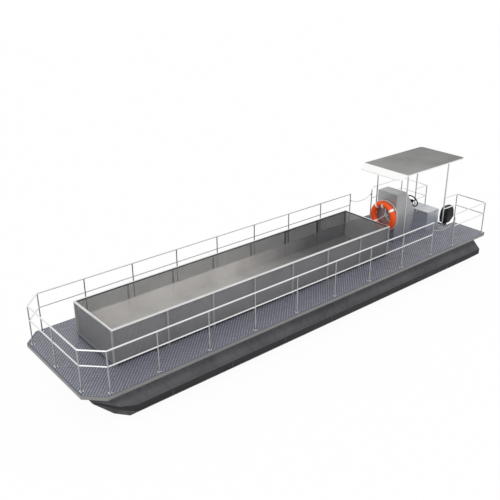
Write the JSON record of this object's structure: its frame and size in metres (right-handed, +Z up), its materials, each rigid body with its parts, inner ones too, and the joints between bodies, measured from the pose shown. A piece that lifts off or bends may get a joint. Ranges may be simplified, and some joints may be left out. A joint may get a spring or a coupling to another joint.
{
  "type": "pontoon work boat",
  "caption": "Twin-pontoon work boat with a railed deck, an open mesh hopper, a canopied stern helm and an outboard motor.",
  "frame": {"origin": "middle of the overall box, on the floor under the flat-bottomed pontoons", "axes": "+X to the bow, +Y to port, +Z up"},
  "size_m": [12.928, 3.06, 2.995],
  "materials": {
    "deck_plate": "grey painted tread plate, satin",
    "deck_band": "grey paint, satin",
    "frame_steel": "dark grey paint, satin",
    "pontoon_paint": "dark grey paint, semi-matt",
    "rail_paint": "light paint, satin",
    "rope": "twisted rope",
    "hopper_frame": "grey paint, satin",
    "hopper_mesh": "grey coated wire mesh",
    "canopy_panel": "grey top with white edges, satin",
    "canopy_steel": "light paint, satin",
    "console_steel": "brushed sheet",
    "column_paint": "dark paint, satin",
    "wheel_grip": "black, smooth",
    "buoy_shell": "orange, smooth",
    "buoy_band": "white band",
    "holder_paint": "light grey paint",
    "transom_wood": "sealed hardwood board",
    "motor_casting": "black paint, satin",
    "motor_cover": "black, gloss",
    "engine_iron": "plain casting",
    "prop_metal": "dark painted casting"
  },
  "bodies": {
    "hull": {"bow_corner_rails": "rail_paint", "bow_rails": "rail_paint", "canopy_frame": "canopy_steel", "canopy_post_flanges": "canopy_steel", "canopy_posts": "canopy_steel", "canopy_roof": "canopy_panel", "clamp_bracket": "motor_casting", "console": "console_steel", "cross_beams": "frame_steel", "deck_edge_band": "deck_band", "deck_plate": "deck_plate", "gangway_eyes": "rail_paint", "gangway_rope_port": "rope", "gangway_rope_starboard": "rope", "hopper_end_bow": "hopper_mesh", "hopper_end_stern": "hopper_mesh", "hopper_feet": "hopper_frame", "hopper_floor": "hopper_mesh", "hopper_posts": "hopper_frame", "hopper_rim_ends": "hopper_frame", "hopper_rim_sides": "hopper_frame", "hopper_side_port": "hopper_mesh", "hopper_side_starboard": "hopper_mesh", "hopper_sill_ends": "hopper_frame", "hopper_sill_sides": "hopper_frame", "lifebuoy_bands": "buoy_band", "lifebuoy_holder": "holder_paint", "lifebuoy_ring": "buoy_shell", "pontoon_port": "pontoon_paint", "pontoon_risers": "frame_steel", "pontoon_starboard": "pontoon_paint", "seat_box": "console_steel", "side_rails_port": "rail_paint", "side_rails_starboard": "rail_paint", "stanchion_flanges": "rail_paint", "stanchions_bow": "rail_paint", "stanchions_port": "rail_paint", "stanchions_starboard": "rail_paint", "steering_column": "column_paint", "stern_deck_plates": "deck_plate", "stern_rail_elbows": "rail_paint", "stern_rails_cross": "rail_paint", "stern_rails_return": "rail_paint", "transom_beam": "frame_steel", "transom_board": "transom_wood"},
    "motor_tilt_body": {"swivel_bracket": "motor_casting"},
    "motor_head": {"motor_cowl": "motor_cover", "powerhead": "engine_iron", "motor_leg": "motor_casting"},
    "propeller_body": {"propeller": "prop_metal"},
    "wheel_body": {"steering_wheel": "wheel_grip"}
  },
  "joints": [
    {"name": "motor_tilt", "type": "hinge", "parent": "hull", "child": "motor_tilt_body", "pos_m": [-5.982, 0, 0.725], "axis": [0, 1, 0], "range_deg": [0, 65]},
    {"name": "motor_steer", "type": "hinge", "parent": "motor_tilt_body", "child": "motor_head", "pos_m": [-6.071, 0, 0.62], "axis": [0, 0, 1], "range_deg": [-30, 30]},
    {"name": "propeller_spin", "type": "hinge", "parent": "motor_head", "child": "propeller_body", "pos_m": [-6.2763, 0, 0.202], "axis": [1, 0, 0], "continuous": true},
    {"name": "wheel_turn", "type": "hinge", "parent": "hull", "child": "wheel_body", "pos_m": [-4.476, 0, 1.802], "axis": [-0.9205, 0, 0.3907], "range_deg": [-540, 540]}
  ],
  "couplings": [
    {"joint": "wheel_turn", "follows": "motor_steer", "ratio": -18}
  ]
}
